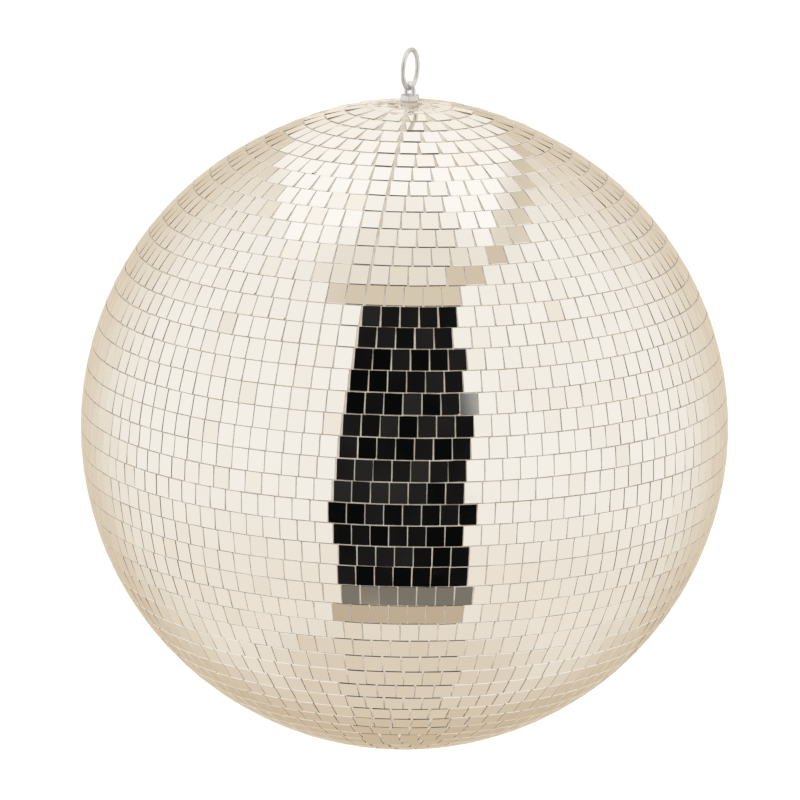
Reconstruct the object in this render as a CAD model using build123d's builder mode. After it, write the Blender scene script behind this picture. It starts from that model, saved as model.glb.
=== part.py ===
from build123d import *

import math
import os
import random

# A hanging mirror ball: flat glass tiles in level rows over a hollow plastic ball, on a wire ring.
# Millimetres. The origin is where a hook bears, at the top of the ring's hole. The ring lies in
# the YZ plane, and the ball hangs below it and swings about the Y direction.

# ---- driving dimensions ----
ball_radius = 150.0          # to the middle of a tile's outer face
rows_per_half = 24
row_step = 90.0 / rows_per_half

tile_glass = 1.8             # thickness
tile_width = 7.75
tile_joint = 0.35            # least joint between tiles, at their backs
glue_bed = 0.3
cloth_thickness = 0.4
cloth_edge_angle = 0.06      # each half's cloth stops this far from the equator, in degrees
shell_wall = 3.0

cut_rows = 2                 # rows next to each pole that are cut to wedges
cut_row_counts = [15, 8]     # tiles in those rows
pole_opening = 4.9           # the tile field ends at this radius
pole_rise = [0.3, 0.6, 1.0, 1.5, 2.0, 2.2, 2.2]   # the last rows lie on an ever thicker bed
wedge_joint = 1.6 * tile_joint     # between the cut tiles
seam_angle_low = -80.0       # where the strips of the upper half begin, at the equator
seam_angle_high = -71.0      # and at the pole
random_seed = 7

ring_wire = 2.0
ring_mean_radius = 8.9
ring_slit = 0.2
wire_gap = 0.25              # running clearance between the ring and the eye
eye_wire = 2.0
eye_leg_spacing = 5.7
eye_twist = -33.0            # the eye stands oblique to the ring
eye_top = 161.3              # the bend's wire centre, above the ball's centre

thread = 5.0                 # M5
hex_flats = 8.0
hex_turn = -13.7
head_height = 2.6
head_low = 153.4             # above the ball's centre
hex_flat_share = 0.49        # of the width over flats: radius left flat by the corner chamfer
hex_chamfer_angle = 30.0
hex_margin = 0.3             # the chamfering cone reaches this far past the corners
stud_chamfer = 0.5
stud_end = 129.0
nut_thin = 2.7
nut_high = 4.0
thread_gap = 0.02
hole_gap = 0.2

boss_radius = 8.0
boss_low = 139.0
land_radius = 7.2
washer_radius = 5.0
washer_thickness = 1.0
plate_radius = 15.0
plate_thickness = 1.5
spring_washer_radius = 4.6
spring_washer_height = 1.4
spring_washer_split = 0.8
sealant_top = 153.2
sealant_top_radius = 3.3
sealant_shoulder = 0.9       # height of the bead's straight side
sealant_inset = 0.1          # the bead stops this far inside the nut's corners

band_radius = 143.5
band_wall = 2.5
band_height = 24.0
disc_radius = 4.3            # round mirror at the lower pole
disc_recess = 0.15

# ---- worked out ----
tile_back = ball_radius - tile_glass
cloth_outer = tile_back - glue_bed
cloth_inner = cloth_outer - cloth_thickness
shell_outer = cloth_inner - glue_bed
shell_inner = shell_outer - shell_wall
tile_height = 2 * tile_back * math.tan(math.radians(row_step / 2)) - tile_joint
stud_radius = thread / 2
eye_bend = eye_leg_spacing / 2
hex_corner = hex_flats / math.sqrt(3)

head_high = head_low + head_height
swing_height = eye_top - eye_wire / 2 - ring_wire / 2 - wire_gap
hang_height = swing_height + 2 * ring_mean_radius - ring_wire / 2
ball_z = -hang_height                                # the ball's centre below the origin
land_height = math.sqrt(shell_outer**2 - land_radius**2)

section = Plane(origin=(0, 0, ball_z), x_dir=(1, 0, 0), z_dir=(0, -1, 0))
os.makedirs("parts", exist_ok=True)
pieces = []


def level(height):
    """The plane across the ball's axis at a height above its centre."""
    return Plane.XY.offset(ball_z + height)


def finish(piece, label):
    piece.part.label = label
    export_step(piece.part, f"parts/{label}.step")
    pieces.append(label)


def arc_angle(radius, across):
    """The angle up from the equator at which an arc of this radius is this far from the axis."""
    return math.degrees(math.acos(across / radius))


# ---- mirror tiles ----
def tiles_in_row(latitude):
    """As many whole tiles as fit side by side at the backs of the row's polar edge."""
    angle = math.radians(latitude)
    edge = tile_back * math.cos(angle) - tile_height / 2 * math.sin(angle)
    return math.floor(math.pi / math.atan((tile_width + tile_joint) / 2 / edge))


def tile_row(side, index, count, start, rise=0.0):
    """One level row of tiles. side is 1 above the equator and -1 below it."""
    steps = index + 1
    low_edge = ball_radius * math.cos(math.radians(row_step * index))
    high_edge = ball_radius * math.cos(math.radians(row_step * steps))
    latitude = row_step * (index + 0.5)
    height = tile_height
    low_width = tile_width
    high_width = tile_width
    if index >= rows_per_half - cut_rows:
        if steps == rows_per_half:
            high_edge = pole_opening
            height = low_edge - high_edge - tile_joint
            latitude = arc_angle(ball_radius, (low_edge + high_edge) / 2)
        low_width = 2 * (low_edge * math.tan(math.pi / count)) - wedge_joint
        high_width = 2 * (high_edge * math.tan(math.pi / count)) - wedge_joint
    angle = math.radians(latitude)
    reach = ball_radius + rise
    face = Plane(
        origin=(reach * math.cos(angle), 0, ball_z + side * reach * math.sin(angle)),
        x_dir=(0, side, 0),
        z_dir=(math.cos(angle), 0, side * math.sin(angle)),
    )
    corners = [
        (-low_width / 2, -height / 2),
        (low_width / 2, -height / 2),
        (high_width / 2, height / 2),
        (-high_width / 2, height / 2),
    ]
    with BuildPart() as tile:
        with BuildSketch(face):
            with BuildLine():
                Polyline(*corners, close=True)
            make_face()
        extrude(amount=-tile_glass)
    with BuildPart() as row:
        with PolarLocations(0, count, start_angle=start):
            add(tile.part)
    return row


draw = random.Random(random_seed)
first_cut = rows_per_half - cut_rows
first_risen = rows_per_half - len(pole_rise)
for side, half in ((1, "upper"), (-1, "lower")):
    cut_tiles = []
    for index in range(rows_per_half):
        if index < first_cut:
            count = tiles_in_row(row_step * (index + 0.5))
        else:
            count = cut_row_counts[index - first_cut]
        if side > 0:
            share = index / rows_per_half
            seam = seam_angle_low + (seam_angle_high - seam_angle_low) * share
            start = seam + 180.0 / count
            rise = pole_rise[index - first_risen] if index >= first_risen else 0.0
        else:
            start = draw.uniform(0, 360)
            rise = 0.0
        row = tile_row(side, index, count, start, rise)
        print(half, index + 1, count)
        if index < first_cut:
            finish(row, f"tiles_{half}_{index + 1:02d}")
        else:
            cut_tiles.append(row)
    if side < 0:
        with BuildPart() as disc:
            with BuildSketch(level(-ball_radius + disc_recess)):
                Circle(disc_radius)
            extrude(amount=tile_glass)
        cut_tiles.append(disc)
    with BuildPart() as pole_tiles:
        for piece in cut_tiles:
            add(piece.part)
    finish(pole_tiles, f"tiles_{half}_pole")

# ---- cloth that the tile strips come on: one piece over each half ----
with BuildPart() as cloth_backing:
    for side in (1, -1):
        first = cloth_edge_angle
        last = arc_angle(cloth_outer, boss_radius)
        with BuildSketch(section):
            with BuildLine():
                outer = CenterArc((0, 0), cloth_outer, side * first, side * (last - first))
                inner = CenterArc((0, 0), cloth_inner, side * first, side * (last - first))
                Line(outer @ 0, inner @ 0)
                Line(outer @ 1, inner @ 1)
            make_face()
        revolve(axis=Axis.Z)
finish(cloth_backing, "cloth_backing")

# ---- hollow ball: two halves, butted at the equator over a band ----
shell_land_angle = arc_angle(shell_outer, land_radius)
boss_angle = arc_angle(shell_inner, boss_radius)
with BuildPart() as upper_shell:
    with BuildSketch(section):
        with BuildLine():
            outer = CenterArc((0, 0), shell_outer, 0, shell_land_angle)
            bore = stud_radius + hole_gap
            boss_side = Polyline(
                outer @ 1,
                (bore, land_height),
                (bore, boss_low),
                (boss_radius, boss_low),
                (boss_radius, shell_inner * math.sin(math.radians(boss_angle))),
            )
            inner = CenterArc((0, 0), shell_inner, 0, boss_angle)
            Line(inner @ 0, outer @ 0)
        make_face()
    revolve(axis=Axis.Z)
finish(upper_shell, "upper_shell")

with BuildPart() as lower_shell:
    with BuildSketch(section):
        with BuildLine():
            outer = CenterArc((0, 0), shell_outer, -90, 90)
            inner = CenterArc((0, 0), shell_inner, -90, 90)
            Line(outer @ 0, inner @ 0)
            Line(outer @ 1, inner @ 1)
        make_face()
    revolve(axis=Axis.Z)
finish(lower_shell, "lower_shell")

with BuildPart() as joint_band:
    with BuildSketch(level(-band_height / 2)):
        Circle(band_radius)
        Circle(band_radius - band_wall, mode=Mode.SUBTRACT)
    extrude(amount=band_height)
finish(joint_band, "joint_band")


# ---- hanger ----
def hex_piece(low, height, bore_radius, chamfer_low):
    """A hexagon with its corners turned off at the top, and at the bottom too if chamfer_low."""
    flat_radius = hex_flat_share * hex_flats
    wide = hex_corner + hex_margin
    drop = (wide - flat_radius) * math.tan(math.radians(hex_chamfer_angle))
    foot = [(flat_radius, low), (wide, low + drop)] if chamfer_low else [(wide, low)]
    with BuildPart() as piece:
        with BuildSketch(level(low)):
            RegularPolygon(hex_corner, 6, rotation=hex_turn)
            if bore_radius:
                Circle(bore_radius, mode=Mode.SUBTRACT)
        extrude(amount=height)
        with BuildSketch(section):
            with BuildLine():
                Polyline(
                    (0, low),
                    *foot,
                    (wide, low + height - drop),
                    (flat_radius, low + height),
                    (0, low + height),
                    close=True,
                )
            make_face()
        revolve(axis=Axis.Z, mode=Mode.INTERSECT)
    return piece


def washer(low, height, outside, inside):
    with BuildPart() as piece:
        with BuildSketch(level(low)):
            Circle(outside)
            Circle(inside, mode=Mode.SUBTRACT)
        extrude(amount=height)
    return piece


head = hex_piece(head_low, head_height, None, False)
with BuildPart() as hanger_screw:
    add(head.part)
    with BuildSketch(level(stud_end)):
        Circle(stud_radius)
    extrude(amount=head_low - stud_end)
    stud_tip = hanger_screw.edges().filter_by(GeomType.CIRCLE).sort_by(Axis.Z)[0]
    chamfer(stud_tip, stud_chamfer)
finish(hanger_screw, "hanger_screw")

leg_direction = (math.cos(math.radians(eye_twist)), math.sin(math.radians(eye_twist)), 0)
eye_plane = Plane(
    origin=(0, 0, ball_z),
    x_dir=leg_direction,
    z_dir=(leg_direction[1], -leg_direction[0], 0),
)
bend_height = eye_top - eye_bend
with BuildPart() as wire_eye:
    with BuildLine(eye_plane):
        Line((eye_bend, head_high), (eye_bend, bend_height))
        CenterArc((0, bend_height), eye_bend, 0, 180)
        Line((-eye_bend, bend_height), (-eye_bend, head_high))
    leg_foot = Vector(*leg_direction) * eye_bend
    with BuildSketch(Plane(origin=(leg_foot.X, leg_foot.Y, ball_z + head_high))):
        Circle(eye_wire / 2)
    sweep()
finish(wire_eye, "wire_eye")

ring_centre = ball_z + swing_height + ring_mean_radius
slit_angle = math.degrees(ring_slit / ring_mean_radius)
half_slit = math.radians(slit_angle / 2)
ring_end = Plane(
    origin=(
        0,
        -ring_mean_radius * math.sin(half_slit),
        ring_centre + ring_mean_radius * math.cos(half_slit),
    ),
    x_dir=(1, 0, 0),
    z_dir=(0, -math.cos(half_slit), -math.sin(half_slit)),
)
with BuildPart() as hanging_ring:
    with BuildSketch(ring_end):
        Circle(ring_wire / 2)
    revolve(axis=Axis((0, 0, ring_centre), (1, 0, 0)), revolution_arc=360 - slit_angle)
finish(hanging_ring, "hanging_ring")

washer_high = land_height + washer_thickness
nut_top = washer_high + nut_thin
clear_radius = stud_radius + hole_gap
bead_radius = hex_corner - sealant_inset
finish(washer(land_height, washer_thickness, washer_radius, clear_radius), "outer_washer")
finish(hex_piece(washer_high, nut_thin, stud_radius + thread_gap, True), "outer_nut")
with BuildPart() as sealant_ring:
    with BuildSketch(section):
        with BuildLine():
            foot = Polyline(
                (stud_radius + thread_gap, sealant_top),
                (stud_radius + thread_gap, nut_top),
                (bead_radius, nut_top),
                (bead_radius, nut_top + sealant_shoulder),
            )
            shoulder = TangentArc(foot @ 1, (sealant_top_radius, sealant_top), tangent=(0, 1))
            Line(shoulder @ 1, foot @ 0)
        make_face()
    revolve(axis=Axis.Z)
finish(sealant_ring, "sealant_ring")

plate_low = boss_low - plate_thickness
spring_low = plate_low - spring_washer_height
finish(washer(plate_low, plate_thickness, plate_radius, clear_radius), "backing_plate")
with BuildPart() as spring_washer:
    add(washer(spring_low, spring_washer_height, spring_washer_radius, clear_radius).part)
    with BuildSketch(level(spring_low)):
        with Locations((spring_washer_radius / 2 + 1, 0)):
            Rectangle(spring_washer_radius, spring_washer_split)
    extrude(amount=spring_washer_height, mode=Mode.SUBTRACT)
finish(spring_washer, "spring_washer")
finish(hex_piece(spring_low - nut_high, nut_high, stud_radius + thread_gap, True), "inner_nut")

print("nodes", len(pieces), "ball centre z", round(ball_z, 3))
print("swing height", round(ball_z + swing_height, 3), "ring centre", round(ring_centre, 3))
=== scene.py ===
import math
import random

import bpy
import numpy as np
from mathutils import Matrix, Vector


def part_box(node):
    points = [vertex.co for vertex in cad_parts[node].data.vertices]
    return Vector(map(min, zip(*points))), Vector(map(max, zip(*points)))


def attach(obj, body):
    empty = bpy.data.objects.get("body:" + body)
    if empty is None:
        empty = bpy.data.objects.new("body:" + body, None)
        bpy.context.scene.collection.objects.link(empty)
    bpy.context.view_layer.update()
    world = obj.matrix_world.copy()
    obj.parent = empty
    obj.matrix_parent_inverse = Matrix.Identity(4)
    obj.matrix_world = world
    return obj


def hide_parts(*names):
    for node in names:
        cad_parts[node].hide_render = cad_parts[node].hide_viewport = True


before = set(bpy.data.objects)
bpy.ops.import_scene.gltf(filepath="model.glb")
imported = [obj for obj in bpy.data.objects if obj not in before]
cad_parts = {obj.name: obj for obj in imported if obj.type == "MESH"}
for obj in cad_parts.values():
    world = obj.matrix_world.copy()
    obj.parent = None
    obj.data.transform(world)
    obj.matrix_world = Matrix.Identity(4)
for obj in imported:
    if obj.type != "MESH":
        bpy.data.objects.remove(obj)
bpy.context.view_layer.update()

mm = 0.001

ball = {
    "radius": 150.0 * mm,        # to the middle of a tile's face
    "rowsPerHalf": 24,
    "cutRows": [15, 8],          # tiles in the last rows, cut to wedges
    "poleOpening": 4.9 * mm,
    "poleRise": [0.3 * mm, 0.6 * mm, 1.0 * mm, 1.5 * mm, 2.0 * mm, 2.2 * mm, 2.2 * mm],
    "seamLow": -80.0,
    "seamHigh": -71.0,
    "seed": 7,
}
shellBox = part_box("cloth_backing")
ballCentre = Vector((0, 0, (shellBox[0][2] + shellBox[1][2]) / 2))


# A shader socket that takes part in sums: a + b, 1 - a, a * b, a / b.
class Wire:
    def __init__(self, graph, socket):
        self.graph = graph
        self.socket = socket

    def sum(self, operation, first, second):
        made = self.graph.node("ShaderNodeMath", {"operation": operation}, {0: first, 1: second})
        return made.out(0)

    def __add__(self, other):
        return self.sum("ADD", self, other)

    def __sub__(self, other):
        return self.sum("SUBTRACT", self, other)

    def __rsub__(self, other):
        return self.sum("SUBTRACT", other, self)

    def __mul__(self, other):
        return self.sum("MULTIPLY", self, other)

    def __truediv__(self, other):
        return self.sum("DIVIDE", self, other)

    def __rtruediv__(self, other):
        return self.sum("DIVIDE", other, self)

    __radd__ = __add__
    __rmul__ = __mul__


# A node in the graph; out() gives one of its sockets as a Wire.
class Made:
    def __init__(self, graph, node):
        self.graph = graph
        self.node = node

    def out(self, name=0):
        return Wire(self.graph, self.node.outputs[name])


# A node tree that is filled by calls.
class Graph:
    def __init__(self, tree):
        self.tree = tree
        tree.nodes.clear()

    # settings are put on first, then each input gets a value or a link
    def node(self, kind, settings=None, inputs=None):
        node = self.tree.nodes.new(kind)
        for name, value in (settings or {}).items():
            setattr(node, name, value)
        for name, value in (inputs or {}).items():
            if isinstance(value, Wire):
                self.tree.links.new(value.socket, node.inputs[name])
            else:
                node.inputs[name].default_value = value
        return Made(self, node)

    # first where the factor is 0 and second where it is 1
    def blendColour(self, factor, first, second):
        mix = self.node("ShaderNodeMix", {"data_type": "RGBA"}, {0: factor, 6: first, 7: second})
        return mix.out(2)

    # 0 at low, 1 at high and beyond, and smooth between; low may be the larger
    def ramp(self, value, low, high):
        made = self.node(
            "ShaderNodeMapRange",
            {"interpolation_type": "SMOOTHSTEP"},
            {"Value": value, "From Min": low, "From Max": high},
        )
        return made.out("Result")

    def noise(self, where, scale, detail=2.0, rough=0.5):
        made = self.node(
            "ShaderNodeTexNoise", {}, {"Vector": where, "Scale": scale, "Detail": detail, "Roughness": rough}
        )
        return made.out(0)

    # a surface direction bent by the height, whose depth is in metres
    def bump(self, strength, depth, height):
        made = self.node("ShaderNodeBump", {}, {"Strength": strength, "Distance": depth, "Height": height})
        return made.out("Normal")

    def objectSpace(self):
        return self.node("ShaderNodeTexCoord").out("Object")


def rgba(red, green, blue):
    return (red, green, blue, 1.0)


# A colour given as it shows on a screen, 0 to 255, turned into light.
def shown(red, green, blue):
    level = np.array([red, green, blue]) / 255
    light = np.where(level > 0.04045, ((level + 0.055) / 1.055) ** 2.4, level / 12.92)
    return rgba(*(float(part) for part in light))


def newMaterial(name):
    material = bpy.data.materials.new(name)
    material.use_nodes = True
    return material, Graph(material.node_tree)


def surface(graph, inputs):
    shader = graph.node("ShaderNodeBsdfPrincipled", {}, inputs)
    graph.node("ShaderNodeOutputMaterial", {}, {"Surface": shader.out("BSDF")})


mirrorLook = {
    "silver": rgba(0.975, 0.97, 0.96),
    "tired": rgba(0.88, 0.82, 0.73),      # older silvering, warmer
    "edgeTint": rgba(0.86, 0.80, 0.71),
    "roughness": 0.02,
    "smear": 0.05,
    "smearScale": 55.0,
    "smearRange": (0.55, 0.8),
    "glass": 0.5,                         # how much of the glass over the silver shows
    "glassRoughness": 0.02,
    "glassIor": 1.5,
}


# Silver behind glass: a metal whose colour drifts from tile to tile, with faint smears.
def mirrorMaterial():
    material, g = newMaterial("mirrorTile")
    tone = g.node("ShaderNodeAttribute", {"attribute_name": "tone"}).out("Fac")
    where = g.objectSpace()
    smear = g.noise(where, mirrorLook["smearScale"], detail=3.0, rough=0.6)
    dull = g.ramp(smear, *mirrorLook["smearRange"])
    surface(g, {
        "Base Color": g.blendColour(tone, mirrorLook["silver"], mirrorLook["tired"]),
        "Metallic": 1.0,
        "Roughness": dull * mirrorLook["smear"] + mirrorLook["roughness"],
        "Specular Tint": mirrorLook["edgeTint"],
        "Coat Weight": mirrorLook["glass"],
        "Coat Roughness": mirrorLook["glassRoughness"],
        "Coat IOR": mirrorLook["glassIor"],
    })
    return material


# the tile sides' browns are kept dark partly as painted shade for the joints, and partly as the glue's own
# colour
edgeAndJointShade = {
    "dark": rgba(0.24, 0.18, 0.11),
    "light": rgba(0.46, 0.38, 0.27),
    "cloudScale": 900.0,
    "roughness": 0.15,
    "cloudRoughness": 0.3,
    "ior": 1.5,
}


# The ground side of a tile, clouded with glue; its dark brown is partly the glue's colour and partly painted
# shade, standing for the shade in the narrow joints between tiles.
def cutEdgeMaterial():
    material, g = newMaterial("cutGlassEdge")
    where = g.objectSpace()
    cloud = g.noise(where, edgeAndJointShade["cloudScale"], detail=3.0, rough=0.6)
    surface(g, {
        "Base Color": g.blendColour(cloud, edgeAndJointShade["dark"], edgeAndJointShade["light"]),
        "Roughness": cloud * edgeAndJointShade["cloudRoughness"] + edgeAndJointShade["roughness"],
        "IOR": edgeAndJointShade["ior"],
    })
    return material


glueLook = {
    "cream": rgba(1.0, 0.97, 0.92),
    "shade": rgba(0.94, 0.89, 0.80),
    "amber": rgba(0.40, 0.25, 0.10),
    "threadScale": 900.0,
    "mottleScale": 130.0,
    "creamRange": (0.3, 0.7),
    "amberRange": (0.44, 0.62),
    "roughness": 0.5,
    "threadShine": 0.2,
    "bump": 0.4,
    "bumpDepth": 0.1 * mm,
}


# Cured glue standing in the joints: cream, browner in thick spots, with the cloth's weave under it.
def glueMaterial():
    material, g = newMaterial("jointGlue")
    where = g.objectSpace()
    threads = {"Vector": where, "Scale": glueLook["threadScale"]}
    weave = g.node("ShaderNodeTexWave", {"bands_direction": "Z"}, threads).out("Fac")
    cross = g.node("ShaderNodeTexWave", {"bands_direction": "X"}, threads).out("Fac")
    thread = weave * cross
    mottle = g.noise(where, glueLook["mottleScale"], detail=4.0, rough=0.65)
    amber = g.node("ShaderNodeAttribute", {"attribute_name": "amber"}).out("Fac")
    bump = g.bump(glueLook["bump"], glueLook["bumpDepth"], thread + mottle)
    cream = g.blendColour(g.ramp(mottle, *glueLook["creamRange"]), glueLook["shade"], glueLook["cream"])
    brown = g.ramp(mottle, *glueLook["amberRange"]) * amber
    surface(g, {
        "Base Color": g.blendColour(brown, cream, glueLook["amber"]),
        "Roughness": glueLook["roughness"] - thread * glueLook["threadShine"],
        "Normal": bump,
    })
    return material


metalLook = {
    "stainScale": 260.0,
    "stainRange": (0.35, 0.75),
    "stainRoughness": 0.16,
    "scratchScale": 2600.0,
    "scratchDepth": 0.03 * mm,
}


# Plated steel with fine drawn scratches and a little staining, darker at a glancing angle.
def metalMaterial(name, light, dark, edge, roughness, scratch):
    material, g = newMaterial(name)
    where = g.objectSpace()
    stain = g.noise(where, metalLook["stainScale"], detail=3.0, rough=0.6)
    fine = g.noise(where, metalLook["scratchScale"])
    surface(g, {
        "Base Color": g.blendColour(g.ramp(stain, *metalLook["stainRange"]), light, dark),
        "Metallic": 1.0,
        "Specular Tint": edge,
        "Roughness": stain * metalLook["stainRoughness"] + roughness,
        "Normal": g.bump(scratch, metalLook["scratchDepth"], fine),
    })
    return material


plasticLook = {
    "dark": rgba(0.70, 0.68, 0.62),
    "light": rgba(0.78, 0.76, 0.70),
    "cloudScale": 30.0,
    "grainScale": 1200.0,
    "grainRoughness": 0.15,
    "roughness": 0.42,
    "bump": 0.15,
    "bumpDepth": 0.05 * mm,
}


# Moulded plastic: a faint cloudiness, with a fine grain in its shine and its relief.
def plasticMaterial():
    material, g = newMaterial("ballPlastic")
    where = g.objectSpace()
    cloud = g.noise(where, plasticLook["cloudScale"])
    grain = g.noise(where, plasticLook["grainScale"])
    surface(g, {
        "Base Color": g.blendColour(cloud, plasticLook["dark"], plasticLook["light"]),
        "Roughness": grain * plasticLook["grainRoughness"] + plasticLook["roughness"],
        "Normal": g.bump(plasticLook["bump"], plasticLook["bumpDepth"], grain),
    })
    return material


sealantLook = {
    "dull": rgba(0.86, 0.80, 0.70),
    "white": rgba(0.95, 0.93, 0.89),
    "whiteRange": (0.3, 0.7),
    "lumpScale": 500.0,
    "lumpRoughness": 0.2,
    "roughness": 0.3,
    "bump": 0.5,
    "bumpDepth": 0.3 * mm,
}


# Cured sealant: whiter and rougher on its lumps.
def sealantMaterial():
    material, g = newMaterial("whiteSealant")
    where = g.objectSpace()
    lump = g.noise(where, sealantLook["lumpScale"], detail=3.0, rough=0.6)
    white = g.ramp(lump, *sealantLook["whiteRange"])
    surface(g, {
        "Base Color": g.blendColour(white, sealantLook["dull"], sealantLook["white"]),
        "Roughness": lump * sealantLook["lumpRoughness"] + sealantLook["roughness"],
        "Normal": g.bump(sealantLook["bump"], sealantLook["bumpDepth"], lump),
    })
    return material


mirrorTile = mirrorMaterial()
cutGlassEdge = cutEdgeMaterial()
jointGlue = glueMaterial()
ballPlastic = plasticMaterial()
whiteSealant = sealantMaterial()
brightSteel = metalMaterial(
    "brightSteel",
    light=rgba(0.98, 0.98, 1.0),
    dark=rgba(0.92, 0.93, 0.97),
    edge=rgba(0.26, 0.28, 0.31),
    roughness=0.42,
    scratch=0.10,
)
nickelWire = metalMaterial(
    "nickelWire",
    light=rgba(0.95, 0.96, 0.94),
    dark=rgba(0.78, 0.79, 0.77),
    edge=rgba(0.10, 0.10, 0.10),
    roughness=0.42,
    scratch=0.16,
)
zincSteel = metalMaterial(
    "zincSteel",
    light=rgba(0.74, 0.75, 0.77),
    dark=rgba(0.60, 0.61, 0.62),
    edge=rgba(0.60, 0.61, 0.62),
    roughness=0.25,
    scratch=0.2,
)
print("materials made")


# A mesh object from corner places (n x 3) and a list of polygon arrays, each of one size.
def meshFromRings(name, corners, polygons, material, smooth=False):
    mesh = bpy.data.meshes.new(name)
    mesh.vertices.add(len(corners))
    mesh.vertices.foreach_set("co", np.asarray(corners, np.float32).ravel())
    sizes = np.concatenate([np.full(len(p), p.shape[1]) for p in polygons])
    starts = np.concatenate([[0], np.cumsum(sizes)[:-1]])
    mesh.loops.add(int(sizes.sum()))
    mesh.loops.foreach_set("vertex_index", np.concatenate([p.ravel() for p in polygons]).astype(np.int32))
    mesh.polygons.add(len(sizes))
    mesh.polygons.foreach_set("loop_start", starts.astype(np.int32))
    mesh.update(calc_edges=True)
    mesh.materials.append(material)
    mesh.polygons.foreach_set("use_smooth", np.full(len(sizes), smooth))
    thing = bpy.data.objects.new(name, mesh)
    bpy.context.scene.collection.objects.link(thing)
    return thing


def place(piece, body, slotName, *nodes):
    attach(piece, body)
    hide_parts(*nodes)


tile = {
    "glass": 1.8 * mm,
    "width": 7.75 * mm,
    "joint": 0.35 * mm,
    "grow": 0.16 * mm,          # the glass is cut this much over its nominal size
    "bevel": 0.08 * mm,         # a ground arris round the face
    "lowBevel": 0.11 * mm,      # wider on the edge nearer the equator, where the glass was scored
    "lowBevelMore": 0.20 * mm,  # and wider still in the rows far from the equator
    "lowBevelUpper": 0.75,      # share of that in the upper half
    "lowBevelFrom": 20.0,       # degrees from the equator where it begins to widen
    "lowBevelSpan": 18.0,
    "wedgeJoints": 1.6,         # wedge-cut tiles stand this many joints apart
    "chip": 0.12 * mm,          # corners are nipped a little
    "chipSpread": (0.6, 1.5),
    "bigChip": 0.7 * mm,        # and a few have lost more
    "bigChipSpread": (0.4, 1.2),
    "bigChipShare": 0.012,
    "toneSpread": (0.8, 7.0),   # few tiles are much older than the rest
    "tilt": 0.0042,             # how unevenly the tiles lie, in radians
    "turn": 0.006,
    "shift": 0.05 * mm,
    "sink": 0.06 * mm,
    "seamGap": 0.55 * mm,       # left over where a row of the upper half comes round to its start
    "seed": 41,
}
rowStep = math.radians(90.0 / ball["rowsPerHalf"])
tileBack = ball["radius"] - tile["glass"]
tileHeight = 2 * tileBack * math.tan(rowStep / 2) - tile["joint"]
startDraw = random.Random(ball["seed"])
uneven = np.random.default_rng(tile["seed"])
outlineCorners = 8                       # each corner of a tile is nipped, so it counts twice
tileLevels = 3                           # face, foot of the bevel, back


# Where a row's tiles stand: how many, the first one's angle, latitude, reach and outline.
def rowPlan(side, index):
    last = ball["rowsPerHalf"] - 1
    firstCut = ball["rowsPerHalf"] - len(ball["cutRows"])
    latitude = rowStep * (index + 0.5)
    height = tileHeight
    lowWidth = highWidth = tile["width"]
    if index < firstCut:
        edge = tileBack * math.cos(latitude) - tileHeight / 2 * math.sin(latitude)
        count = math.floor(math.pi / math.atan((tile["width"] + tile["joint"]) / 2 / edge))
    else:
        count = ball["cutRows"][index - firstCut]
        lowEdge = ball["radius"] * math.cos(rowStep * index)
        highEdge = ball["radius"] * math.cos(rowStep * (index + 1))
        if index == last:
            highEdge = ball["poleOpening"]
            height = lowEdge - highEdge - tile["joint"]
            latitude = math.acos((lowEdge + highEdge) / 2 / ball["radius"])
        lowWidth = 2 * lowEdge * math.tan(math.pi / count) - tile["wedgeJoints"] * tile["joint"]
        highWidth = 2 * highEdge * math.tan(math.pi / count) - tile["wedgeJoints"] * tile["joint"]
    if side > 0:
        share = index / ball["rowsPerHalf"]
        start = math.radians(ball["seamLow"] + (ball["seamHigh"] - ball["seamLow"]) * share) + math.pi / count
        firstRisen = ball["rowsPerHalf"] - len(ball["poleRise"])
        rise = ball["poleRise"][index - firstRisen] if index >= firstRisen else 0.0
    else:
        start = math.radians(startDraw.uniform(0, 360))
        rise = 0.0
    return count, start, latitude, ball["radius"] + rise, lowWidth, highWidth, height


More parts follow.
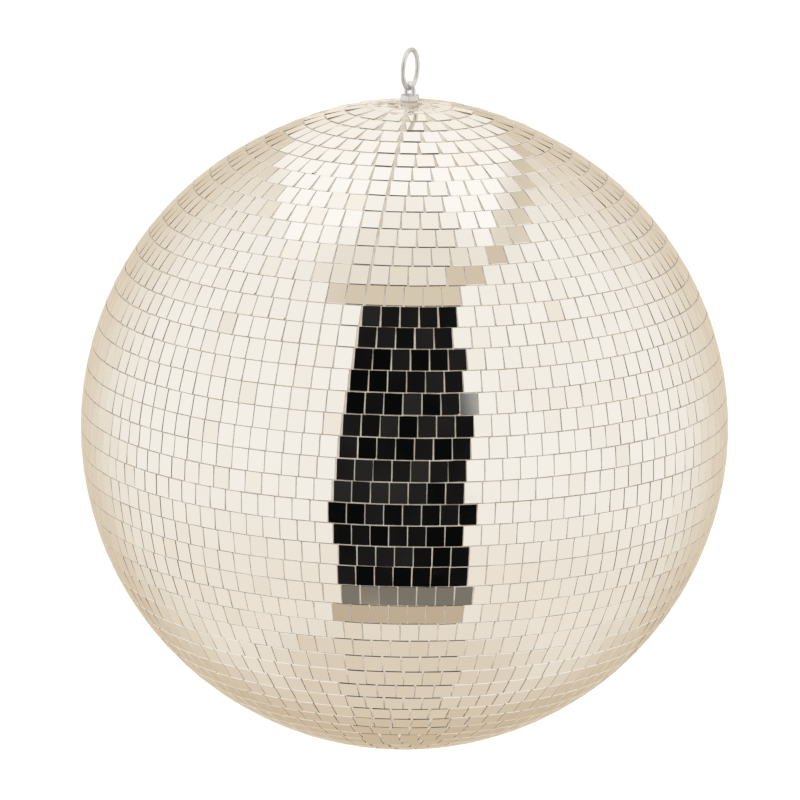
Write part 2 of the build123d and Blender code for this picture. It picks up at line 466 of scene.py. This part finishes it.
# Three eight-cornered outlines per tile: the face, its bevel's foot and the back.
# A corner stands at reach along the normal, plus u to the east, v to the pole and w outwards, with
# w leaning by the tile's own tilt.
def tileCorners(side, count, start, latitude, reach, lowWidth, highWidth, height):
    lowWidth, highWidth, height = lowWidth + tile["grow"], highWidth + tile["grow"], height + tile["grow"]
    right = np.array([lowWidth, lowWidth, highWidth, highWidth]) * [-1, 1, 1, -1]
    square = np.stack([right, height * np.array([-1, -1, 1, 1])], 1) / 2
    chip = np.full((count, 4), tile["chip"]) * uneven.uniform(*tile["chipSpread"], (count, 4))
    lost = uneven.random((count, 4)) < tile["bigChipShare"]
    chip = np.where(lost, tile["bigChip"] * uneven.uniform(*tile["bigChipSpread"], (count, 4)), chip)
    after = np.roll(square, -1, 0) - square
    before = np.roll(square, 1, 0) - square
    after = after / np.linalg.norm(after, axis=1, keepdims=True)
    before = before / np.linalg.norm(before, axis=1, keepdims=True)
    pairs = np.stack([square + chip[..., None] * before, square + chip[..., None] * after], 2)
    outline = pairs.reshape(count, outlineCorners, 2)
    lowSide = outline[..., 1] < 0
    far = min(max((math.degrees(latitude) - tile["lowBevelFrom"]) / tile["lowBevelSpan"], 0), 1)
    lowBevel = tile["lowBevel"] + tile["lowBevelMore"] * far * (tile["lowBevelUpper"] if side > 0 else 1)
    inset = np.where(lowSide, lowBevel, tile["bevel"])
    face = outline * (1 - tile["bevel"] / np.array([(lowWidth + highWidth) / 4, height / 2]))
    face[..., 1] += np.where(lowSide, lowBevel - tile["bevel"], 0.0)
    flat = np.stack([face, outline, outline], 1)                    # tile, level, corner, u or v
    depth = np.stack([0 * inset, -inset, 0 * inset - tile["glass"]], 1)
    turn = uneven.normal(0, tile["turn"], count)[:, None, None]
    shift = uneven.normal(0, tile["shift"], (count, 2)).clip(-2 * tile["shift"], 2 * tile["shift"])
    u = flat[..., 0] * np.cos(turn) - flat[..., 1] * np.sin(turn) + shift[:, 0, None, None]
    v = flat[..., 0] * np.sin(turn) + flat[..., 1] * np.cos(turn) + shift[:, 1, None, None]
    tilt = uneven.normal(0, tile["tilt"], (count, 2)).clip(-3 * tile["tilt"], 3 * tile["tilt"])
    sink = uneven.uniform(-tile["sink"], 0, count)[:, None, None]
    w = depth + tilt[:, 0, None, None] * u + tilt[:, 1, None, None] * v + sink
    spare = tile["seamGap"] / (reach * math.cos(latitude)) if side > 0 else 0.0
    around = start + (2 * math.pi - spare) * np.arange(count) / count + spare / 2
    zero = np.zeros(count)
    low, high = math.cos(latitude), math.sin(latitude)
    normal = np.stack([low * np.cos(around), low * np.sin(around), zero + side * high], 1)
    polar = np.stack([-high * np.cos(around), -high * np.sin(around), zero + side * low], 1)
    east = side * np.stack([-np.sin(around), np.cos(around), zero], 1)
    axes = [a[:, None, None, :] for a in (east, polar, normal)]
    spot = u[..., None] * axes[0] + v[..., None] * axes[1] + (w + reach)[..., None] * axes[2]
    return spot.reshape(-1, 3) + np.array(ballCentre)


# Per tile: a face and a back of eight corners, eight bevel quads and eight side quads.
def tilePolygons(count):
    base = tileLevels * outlineCorners * np.arange(count)[:, None]
    ring = np.arange(outlineCorners)
    nextOne = (ring + 1) % outlineCorners
    face = base + ring
    back = base + 2 * outlineCorners + ring[::-1]
    bevel = np.stack([ring + outlineCorners, nextOne + outlineCorners, nextOne, ring], 1)
    sides = bevel + outlineCorners
    bevel = (base[:, None] + bevel).reshape(-1, 4)
    sides = (base[:, None] + sides).reshape(-1, 4)
    return face, bevel, sides, back


# One piece from the tiles of one or more rows.
def makeRow(name, plans, side):
    corners, faces, bevels, sides, backs, tones = [], [], [], [], [], []
    done, perTile = 0, tileLevels * outlineCorners
    for plan in plans:
        corners.append(tileCorners(side, *plan))
        face, bevel, edge, back = tilePolygons(plan[0])
        for group, part in ((faces, face), (bevels, bevel), (sides, edge), (backs, back)):
            group.append(part + done)
        done += perTile * plan[0]
        tones.append(np.repeat(uneven.beta(*tile["toneSpread"], plan[0]), perTile))
    groups = [np.concatenate(group) for group in (faces, backs, bevels, sides)]
    row = meshFromRings(name, np.concatenate(corners), groups, mirrorTile)
    row.data.materials.append(cutGlassEdge)
    sizes = [len(group) for group in groups]
    which = np.concatenate([np.zeros(sizes[0]), np.ones(sizes[1]), np.zeros(sizes[2]), np.ones(sizes[3])])
    row.data.polygons.foreach_set("material_index", which.astype(np.int32))
    tone = row.data.attributes.new("tone", "FLOAT", "POINT")
    tone.data.foreach_set("value", np.concatenate(tones).astype(np.float32))
    return row


for side, half in ((1, "upper"), (-1, "lower")):
    polePlans = []
    for index in range(ball["rowsPerHalf"]):
        plan = rowPlan(side, index)
        if index >= ball["rowsPerHalf"] - len(ball["cutRows"]):
            polePlans.append(plan)
            continue
        number = f"{index + 1:02d}"
        row = makeRow(f"mirrors_{half}_{number}", [plan], side)
        place(row, "ball", "mirror_tiles", f"tiles_{half}_{number}")
    row = makeRow(f"mirrors_{half}_pole", polePlans, side)
    place(row, "ball", "mirror_tiles", f"tiles_{half}_pole")
print("mirror tiles laid")


# A skin over spots[along, around, 3], closed around; its two ends are filled, or met if joined.
def grid(name, spots, material, joined=False, smooth=True):
    along, around = spots.shape[:2]
    a, b = np.meshgrid(np.arange(along if joined else along - 1), np.arange(around), indexing="ij")
    c, d = (a + 1) % along, (b + 1) % around
    quads = np.stack([a * around + b, a * around + d, c * around + d, c * around + b], -1).reshape(-1, 4)
    polygons = [quads]
    if not joined:
        polygons.append(np.arange(around)[None, ::-1])
        polygons.append((along - 1) * around + np.arange(around)[None, :])
    return meshFromRings(name, spots.reshape(-1, 3), polygons, material, smooth)


# A profile of (radius, height) from bottom to top, carried round the axis; radiusOf may reshape it by angle.
def turned(name, profile, material, around=64, radiusOf=None, smooth=True):
    angle = np.linspace(0, 2 * np.pi, around, endpoint=False)
    radius = np.repeat(profile[:, :1], around, 1)
    height = np.repeat(profile[:, 1:], around, 1)
    if radiusOf is not None:
        radius, height = radiusOf(radius, height, angle)
    spots = np.stack([radius * np.cos(angle), radius * np.sin(angle), height], -1)
    return grid(name, spots, material, smooth=smooth)


skin = {
    "below": 0.24 * mm,          # the glue stands this far below the tile faces
    "deeper": 0.25 * mm,         # and this much further in the lowest rows
    "deeperFrom": 25.0,
    "deeperSpan": 20.0,
    "ripple": 0.09 * mm,
    "ripplePitch": 9.0 * mm,
    "mess": 0.34 * mm,           # it lies unevenly round the hanger, from this latitude
    "messFrom": 81.0,
    "messPitch": 2.6 * mm,
    "messLevel": 0.8,
    "amberCalm": 0.25,           # share of the browner glue away from the hanger
    "inner": 147.5 * mm,         # the cloth's underside
    "crowding": 1.15,            # its steps are closer together near the pole
    "along": 110,
    "alongInner": 26,
    "around": 288,
    "waves": 46,
    "seed": 12,
}


# Smooth unevenness from -1 to 1: the mean of sines along random directions, scaled up.
def ripples(points, count, shortest, draw):
    heading = draw.normal(size=(count, 3))
    heading = heading / np.linalg.norm(heading, axis=1, keepdims=True)
    pitch = shortest * draw.uniform(1.0, 3.0, count)
    phase = 2 * np.pi * (points @ heading.T / pitch + draw.random(count))
    return (np.sin(phase).sum(-1) / math.sqrt(count)).clip(-1.6, 1.6) / 1.6


# The cloth and the glue in the joints, as one skin over each half: its reach is the ball's radius
# and the tiles' rise, less the glue's depth, plus ripples that grow round the hanger.
def makeSkin():
    draw = np.random.default_rng(skin["seed"])
    rowMiddles = (np.arange(ball["rowsPerHalf"]) + 0.5) * 90.0 / ball["rowsPerHalf"]
    calm = ball["rowsPerHalf"] - len(ball["poleRise"])
    rises = np.concatenate([np.zeros(calm), ball["poleRise"]])
    last = math.degrees(math.acos(ball["poleOpening"] / ball["radius"]))
    steps = np.linspace(0, 1, skin["along"])
    angle = np.linspace(0, 2 * np.pi, skin["around"], endpoint=False)
    for side, half in ((1, "upper"), (-1, "lower")):
        latitude = last * (1 - (1 - steps) ** skin["crowding"])
        low, a = np.meshgrid(np.radians(latitude), angle, indexing="ij")
        normal = np.stack([np.cos(low) * np.cos(a), np.cos(low) * np.sin(a), side * np.sin(low)], -1)
        rise = np.interp(latitude, rowMiddles, rises)[:, None] if side > 0 else 0.0
        near = ((latitude - skin["messFrom"]) / (last - skin["messFrom"])).clip(0, 1)[:, None] * (side > 0)
        flatSpots = normal.reshape(-1, 3) * ball["radius"]
        slow = ripples(flatSpots, skin["waves"], skin["ripplePitch"], draw).reshape(low.shape)
        quick = ripples(flatSpots, skin["waves"], skin["messPitch"], draw).reshape(low.shape)
        lift = skin["ripple"] * slow + skin["mess"] * np.sqrt(near) * (skin["messLevel"] + quick)
        far = ((latitude - skin["deeperFrom"]) / skin["deeperSpan"]).clip(0, 1)[:, None]
        sunk = skin["deeper"] * far * (side < 0)
        reach = ball["radius"] - skin["below"] - sunk + rise + lift
        back = np.linspace(last, 0.0, skin["alongInner"])
        low, a = np.meshgrid(np.radians(back), angle, indexing="ij")
        under = np.stack([np.cos(low) * np.cos(a), np.cos(low) * np.sin(a), side * np.sin(low)], -1)
        spots = np.concatenate([normal * reach[..., None], under * skin["inner"]])[:, ::side]
        amberShare = skin["amberCalm"] + (1 - skin["amberCalm"]) * near
        share = np.concatenate([amberShare, np.ones((len(back), 1))]) + 0 * angle
        piece = grid(f"glue_{half}", spots + np.array(ballCentre), jointGlue, joined=True)
        amber = piece.data.attributes.new("amber", "FLOAT", "POINT")
        amber.data.foreach_set("value", share.astype(np.float32).ravel())
        place(piece, "ball", "backing_cloth", "cloth_backing")


makeSkin()

disc = {
    "radius": 4.3 * mm,
    "below": 149.85 * mm,        # its face is this far under the ball's centre
    "core": 0.02 * mm,           # the profile stops just short of the axis, and its ends are filled
    "around": 64,
}


# A round mirror over the lower pole: a flat disc's profile turned round the axis, its rim ground off.
def makeDisc():
    low = -disc["below"]
    edge = tile["bevel"]
    profile = np.array([
        [disc["core"], low],
        [disc["radius"] - edge, low],
        [disc["radius"], low + edge],
        [disc["radius"], low + tile["glass"]],
        [disc["core"], low + tile["glass"]],
    ])
    profile[:, 1] += ballCentre.z
    piece = turned("pole_mirror", profile, mirrorTile, around=disc["around"], smooth=False)
    piece.data.materials.append(cutGlassEdge)
    middles = np.zeros(len(piece.data.polygons) * 3, np.float32)
    piece.data.polygons.foreach_get("center", middles)
    edgeFaces = middles.reshape(-1, 3)[:, 2] > ballCentre.z + low + 0.2 * edge      # all but the face
    piece.data.polygons.foreach_set("material_index", edgeFaces.astype(np.int32))
    return piece


place(makeDisc(), "ball", "mirror_tiles", "tiles_lower_pole")
print("glue and pole mirror made")

wire = {
    "around": 28,
    "ringSteps": 220,
    "bendSteps": 40,
    "slit": 0.1 * mm,            # half the gap between the ring's ends
    "endRound": 0.35 * mm,
    "endShare": 0.65,            # how much of the wire's radius is left at an end
}
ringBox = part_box("hanging_ring")
ringWire = (ringBox[1][0] - ringBox[0][0]) / 2
ringOuter = (ringBox[1][1] - ringBox[0][1]) / 2
ringMean = ringOuter - ringWire
ringCentre = ringBox[0][2] + ringOuter


# A round wire carried along a circle, its radius shrinking to rounded ends that meet at the top.
def makeRing():
    slit = wire["slit"] / ringMean
    angle = np.linspace(slit, 2 * np.pi - slit, wire["ringSteps"])
    fromEnd = np.minimum(angle - slit, 2 * np.pi - slit - angle) * ringMean
    rounded = np.sqrt(1 - (1 - (fromEnd / wire["endRound"]).clip(0, 1)) ** 2)
    swell = rounded * (1 - wire["endShare"]) + wire["endShare"]
    across = np.linspace(0, 2 * np.pi, wire["around"], endpoint=False)
    radial = ringWire * swell[:, None] * np.cos(across)
    sideways = ringWire * swell[:, None] * np.sin(across)
    reach = ringMean + radial
    spots = np.stack([
        sideways,
        reach * np.sin(angle)[:, None],
        ringCentre + reach * np.cos(angle)[:, None],
    ], -1)
    return grid("wire_ring", spots, nickelWire)


ring = makeRing()
place(ring, "ring", "nickel_wire", "hanging_ring")

eye = {
    "wire": 1.0 * mm,
    "bend": 2.85 * mm,
    "twist": math.radians(-33.0),
    "weld": 0.3 * mm,
    "weldHeight": 0.35 * mm,
    "legSteps": 12,
    "crowding": 1.6,             # the legs' steps are closer together at the weld
}
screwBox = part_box("hanger_screw")
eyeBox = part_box("wire_eye")
headTop = screwBox[1][2]


# Two straight legs and a half-round bend in one wire; each leg's foot flares into its weld.
def makeEye():
    bendHeight = eyeBox[1][2] - eye["wire"] - eye["bend"]
    legHeights = headTop + (bendHeight - headTop) * np.linspace(0, 1, eye["legSteps"]) ** eye["crowding"]
    bend = np.linspace(0, np.pi, wire["bendSteps"])[1:-1]
    leg = np.ones(eye["legSteps"])
    height = np.concatenate([legHeights, bendHeight + eye["bend"] * np.sin(bend), legHeights[::-1]])
    outX = np.concatenate([leg, np.cos(bend), -leg])
    outZ = np.concatenate([0 * leg, np.sin(bend), 0 * leg])
    along = eye["bend"] * outX
    flare = eye["weld"] * np.exp(-(height - headTop) / eye["weldHeight"])
    across = np.linspace(0, 2 * np.pi, wire["around"], endpoint=False)
    radius = (eye["wire"] + flare)[:, None]
    out = radius * np.cos(across)
    deep = -radius * np.sin(across)
    x = along[:, None] + out * outX[:, None]
    z = height[:, None] + out * outZ[:, None]
    c, s = math.cos(eye["twist"]), math.sin(eye["twist"])
    spots = np.stack([x * c - deep * s, x * s + deep * c, z], -1)
    return grid("eye_wire", spots, brightSteel)


eyeWire = makeEye()
place(eyeWire, "ball", "plated_steel", "wire_eye")

screw = {
    "flats": 8.0 * mm,
    "turn": math.radians(-13.7),
    "headHeight": 2.6 * mm,
    "stud": 2.5 * mm,
    "pitch": 0.8 * mm,
    "threadDepth": 0.42 * mm,
    "edge": 0.02 * mm,
    "flatShare": 0.49,           # radius of the flat top, as a share of the width over flats
    "cone": math.radians(30.0),
    "headAround": 144,
    "threadAround": 36,
    "threadSteps": 9,            # to each turn
    "crest": 0.12,               # how much of the saw's tip and root is cut flat
    "tip": 0.5 * mm,
}


# Distance from the axis to a hexagon's side, with its corners a little rounded.
def hexRadius(angle):
    sector = np.pi / 3
    inside = (angle - screw["turn"]) % sector - sector / 2
    sharp = screw["flats"] / 2 / np.cos(inside)
    return np.minimum(sharp, screw["flats"] / 2 / math.cos(sector / 2) - screw["edge"])


# A hexagon whose top corners are turned off by a 30 degree cone.
def makeHead():
    low, high = headTop - screw["headHeight"], headTop
    middle = (low + high) / 2
    flat = screw["flatShare"] * screw["flats"]
    mark = high + 1                                # points at this height lie on the flat top
    profile = np.array([
        [0.0, low], [0.5, low], [0.97, low], [1.0, low + screw["edge"]], [1.0, middle],
        [1.0, high], [0.985, high], [flat / mm, mark], [0.93 * flat / mm, mark], [0.0, mark],
    ])

    def cap(radius, height, angle):
        side = hexRadius(angle)[None]
        top = height == mark
        radius = np.where(top, radius * mm, radius * side)
        cone = high - (radius - flat).clip(0, None) * math.tan(screw["cone"])
        return radius, np.where(top, high, np.minimum(height, cone))

    return turned("hex_head", profile, brightSteel, around=screw["headAround"], radiusOf=cap, smooth=False)


# A rolled thread: the radius is a rounded saw of height less turns, and fades out at the tip.
def makeStud():
    low, high = screwBox[0][2], headTop - screw["headHeight"]
    height = np.arange(low, high, screw["pitch"] / screw["threadSteps"])
    angle = np.linspace(0, 2 * np.pi, screw["threadAround"], endpoint=False)
    h, a = np.meshgrid(height, angle, indexing="ij")
    saw = np.abs(((h / screw["pitch"] - a / (2 * np.pi)) % 1.0) * 2 - 1)
    depth = screw["threadDepth"] * (1 - saw.clip(screw["crest"], 1 - screw["crest"]))
    tip = (screw["tip"] - (h - low)).clip(0, None)
    radius = screw["stud"] - depth - tip
    spots = np.stack([radius * np.cos(a), radius * np.sin(a), h], -1)
    return grid("stud_thread", spots, brightSteel)


head = makeHead()
place(head, "ball", "plated_steel", "hanger_screw")
stud = makeStud()
place(stud, "ball", "plated_steel", "hanger_screw")

sealant = {
    "section": [                 # radius, and height over the tiles round the pole, both in mm
        (4.50, -1.50), (4.55, -0.60), (4.95, -0.30), (5.65, -0.14), (5.45, 0.02), (5.10, 0.16),
        (4.70, 0.34), (4.30, 0.54), (3.95, 0.76), (3.60, 0.98), (2.80, 1.12), (2.35, 1.15),
    ],
    "lump": 0.12,                # how far its reach wanders, as a share
    "rise": 0.1 * mm,
    "calm": 3.4 * mm,            # inside this radius it doesn't wander
    "ease": 2.0 * mm,
    "waves": 13,
    "around": 120,
    "seed": 5,
}


# A hand-run bead: its section is carried round the stud,
# and its reach and rise wander by a sum of cosines of the angle.
def makeSealant():
    wander = np.random.default_rng(sealant["seed"])
    over = ballCentre.z + ball["radius"] + ball["poleRise"][-1]
    section = np.array(sealant["section"]) * mm
    knots = np.arange(len(section))
    fine = np.linspace(0, knots[-1], 3 * knots[-1] + 1)
    radius = np.interp(fine, knots, section[:, 0])[:, None]
    height = np.interp(fine, knots, section[:, 1])[:, None]
    angle = np.linspace(0, 2 * np.pi, sealant["around"], endpoint=False)
    waves = sum(
        wander.normal(0, n ** -0.7) * np.cos(n * angle + wander.uniform(0, 6.28))
        for n in range(1, sealant["waves"] + 1)
    )
    waves = waves / np.abs(waves).max()
    outside = ((radius - sealant["calm"]) / sealant["ease"]).clip(0, 1) * (height > -0.3 * mm)
    r = radius * (1 + sealant["lump"] * waves * outside)
    z = over + height + sealant["rise"] * waves[None] * outside * (height > 0.1 * mm)
    spots = np.stack([r * np.cos(angle), r * np.sin(angle), z], -1)
    return grid("sealant_bead", spots, whiteSealant)


bead = makeSealant()
place(bead, "ball", "white_sealant", "sealant_ring")
print("hanger made")

looks = {
    "upper_shell": ballPlastic,
    "lower_shell": ballPlastic,
    "joint_band": ballPlastic,
    "outer_washer": zincSteel,
    "outer_nut": zincSteel,
    "backing_plate": zincSteel,
    "spring_washer": zincSteel,
    "inner_nut": zincSteel,
}
for name, look in looks.items():
    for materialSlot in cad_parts[name].material_slots:
        materialSlot.material = look

camera = {
    "azimuth": math.radians(-68.0),
    "elevation": math.radians(13.0),
    "distance": 2.64,
    "lens": 255.8,
    "sensor": 36.0,
    "farthest": 200.0,
    "roll": math.radians(0.9),
    "right": -2.09 * mm,         # the aim stands this far from the ball's centre
    "up": 12.06 * mm,
}


# The camera looks along its azimuth and elevation at a point beside the ball's centre, rolled a little.
def makeCamera():
    az, el = camera["azimuth"], camera["elevation"]
    back = Vector((math.cos(el) * math.cos(az), math.cos(el) * math.sin(az), math.sin(el)))
    right = Vector((-math.sin(az), math.cos(az), 0))
    up = back.cross(right)
    c, s = math.cos(camera["roll"]), math.sin(camera["roll"])
    right, up = right * c + up * s, up * c - right * s
    aim = ballCentre + right * camera["right"] + up * camera["up"]
    spot = aim + back * camera["distance"]
    data = bpy.data.cameras.new("camera")
    data.lens = camera["lens"]
    data.sensor_width = camera["sensor"]
    data.clip_end = camera["farthest"]
    eyePoint = bpy.data.objects.new("camera", data)
    turn = Matrix((right, up, back)).transposed().to_4x4()
    eyePoint.matrix_world = Matrix.Translation(spot) @ turn
    bpy.context.scene.collection.objects.link(eyePoint)
    bpy.context.scene.camera = eyePoint


makeCamera()

# a white tent with a tall dark opening in front of the ball
studio = {
    "white": shown(246, 242, 235),
    "far": shown(229, 218, 200),
    "farLow": shown(212, 196, 172),
    "sideLow": shown(237, 229, 216),
    "under": shown(222, 209, 189),
    "ceilingFront": shown(233, 226, 213),
    "ceilingBack": shown(255, 252, 247),
    "zenith": shown(242, 236, 226),
    "fold": shown(211, 196, 172),
    "strip": shown(215, 202, 180),
    "dark": rgba(0.003, 0.003, 0.003),
    "dim": rgba(0.026, 0.024, 0.023),
    "grey": shown(124, 118, 108),
    "tan": shown(192, 175, 150),
    "backdrop": rgba(1.0, 1.0, 1.0),
    "strength": 1.0,
    # where each part begins and ends: "Away" is the azimuth's size, "Height" and "Over" are upward
    "farAway": (100.0, 175.0),
    "lowAway": (115.0, 170.0),
    "lowHeight": (-5.0, -45.0),
    "underHeight": (-55.0, -72.0),
    "ceilingAway": (50.0, 100.0),
    "zenithHeight": (72.0, 86.0),
    "ceilingOver": (-0.5, 2.0),
    "leftDroop": 7.0,            # the ceiling's edge is this much lower on the left
    "leftAzimuth": (-60.0, 0.0),
    "foldOver": (-4.5, -1.5),
    "foldEnd": (0.5, 3.0),
    "foldAzimuth": (5.0, 30.0),
    "foldFar": (172.0, 155.0),
    "stripHeight": (53.5, 54.5),
    "stripTop": (60.0, 64.0),
    "stripLeft": (-44.0, -40.0),
    "stripRight": (36.0, 32.0),
    "openingHalf": 23.5,         # the opening's half width, and how much more it has low down
    "openingSpread": 9.0,
    "spreadHeight": (-20.0, -60.0),
    "openingEdge": 0.4,
    "openingTop": (53.6, 54.4),
    "openingFoot": (-58.0, -57.0),
    "blotchScale": 9.0,
    "blotchRange": (0.42, 0.7),
    "greyHeight": (-42.5, -41.5),
    "tanHeight": (-49.5, -48.5),
}


# The tent by direction: azimuth from the opening and height above the level, both in degrees.
# The back walls meet the ceiling along a line whose height's tangent is twice the sine of the azimuth.
def makeWorld():
    world = bpy.data.worlds.new("tent")
    world.use_nodes = True
    bpy.context.scene.world = world
    g = Graph(world.node_tree)
    direction = g.node("ShaderNodeTexCoord").out("Generated")
    levelTurn = g.node("ShaderNodeVectorRotate", {"rotation_type": "Z_AXIS"},
                       {"Vector": direction, "Angle": -camera["azimuth"]}).out("Vector")
    parts = g.node("ShaderNodeSeparateXYZ", {}, {"Vector": levelTurn})
    ahead, right, up = parts.out("X"), parts.out("Y"), parts.out("Z")
    degree = 180 / math.pi

    def maths(operation, first, second=0.0):
        return g.node("ShaderNodeMath", {"operation": operation}, {0: first, 1: second}).out()

    def within(value, name):
        return g.ramp(value, *studio[name])

    azimuth = maths("ARCTAN2", right, ahead) * degree
    height = maths("ARCSINE", up) * degree
    away = maths("ABSOLUTE", azimuth)
    colour = g.blendColour(within(away, "farAway"), studio["white"], studio["far"])
    low = g.blendColour(within(away, "lowAway"), studio["sideLow"], studio["farLow"])
    colour = g.blendColour(within(height, "lowHeight"), colour, low)
    colour = g.blendColour(within(height, "underHeight"), colour, studio["under"])
    across = maths("SINE", maths("MAXIMUM", away, 90.0) / degree)
    edge = maths("ARCTANGENT", across * 2.0) * degree
    over = height - edge + (1 - within(azimuth, "leftAzimuth")) * studio["leftDroop"]
    ceiling = g.blendColour(within(away, "ceilingAway"), studio["ceilingFront"], studio["ceilingBack"])
    ceiling = g.blendColour(within(height, "zenithHeight"), ceiling, studio["zenith"])
    colour = g.blendColour(within(over, "ceilingOver"), colour, ceiling)
    fold = within(over, "foldOver") * (1 - within(over, "foldEnd")) * within(azimuth, "foldAzimuth")
    colour = g.blendColour(fold * within(azimuth, "foldFar"), colour, studio["fold"])
    strip = within(height, "stripHeight") * (1 - within(height, "stripTop")) * within(azimuth, "stripLeft")
    colour = g.blendColour(strip * within(azimuth, "stripRight"), colour, studio["strip"])
    half = within(height, "spreadHeight") * studio["openingSpread"] + studio["openingHalf"]
    inside = 1 - g.ramp(away - half, -studio["openingEdge"], studio["openingEdge"])
    blotch = g.noise(direction, studio["blotchScale"], detail=3.0, rough=0.7)
    night = g.blendColour(within(blotch, "blotchRange"), studio["dark"], studio["dim"])
    night = g.blendColour(1 - within(height, "greyHeight"), night, studio["grey"])
    night = g.blendColour(1 - within(height, "tanHeight"), night, studio["tan"])
    opening = inside * (1 - within(height, "openingTop")) * within(height, "openingFoot")
    colour = g.blendColour(opening, colour, night)
    seen = g.node("ShaderNodeLightPath").out("Is Camera Ray")
    colour = g.blendColour(seen, colour, studio["backdrop"])
    light = g.node("ShaderNodeBackground", {}, {"Color": colour, "Strength": studio["strength"]})
    g.node("ShaderNodeOutputWorld", {}, {"Surface": light.out()})


makeWorld()

floorPlan = {
    "size": 60.0,
    "drop": 1.6,
    "dull": rgba(0.93, 0.93, 0.93),
    "pale": rgba(0.95, 0.95, 0.95),
    "cloudScale": 1.5,
    "roughness": 0.8,
    "glow": 0.35,
}


# A plain pale floor well below the ball, which the mirrors see past.
def makeFloor():
    corners = np.array([[-1, -1], [1, -1], [1, 1], [-1, 1]]) * floorPlan["size"]
    spots = np.column_stack([corners, np.full(4, -floorPlan["drop"])])
    material, g = newMaterial("paleFloor")
    where = g.objectSpace()
    cloud = g.noise(where, floorPlan["cloudScale"])
    surface(g, {
        "Base Color": g.blendColour(cloud, floorPlan["dull"], floorPlan["pale"]),
        "Roughness": floorPlan["roughness"],
        "Emission Color": rgba(1.0, 1.0, 1.0),
        "Emission Strength": floorPlan["glow"],
    })
    floor = meshFromRings("floor", spots, [np.arange(4)[None]], material)
    floor.visible_glossy = False


makeFloor()
bpy.context.scene.view_settings.view_transform = "Standard"
print("camera and studio set")
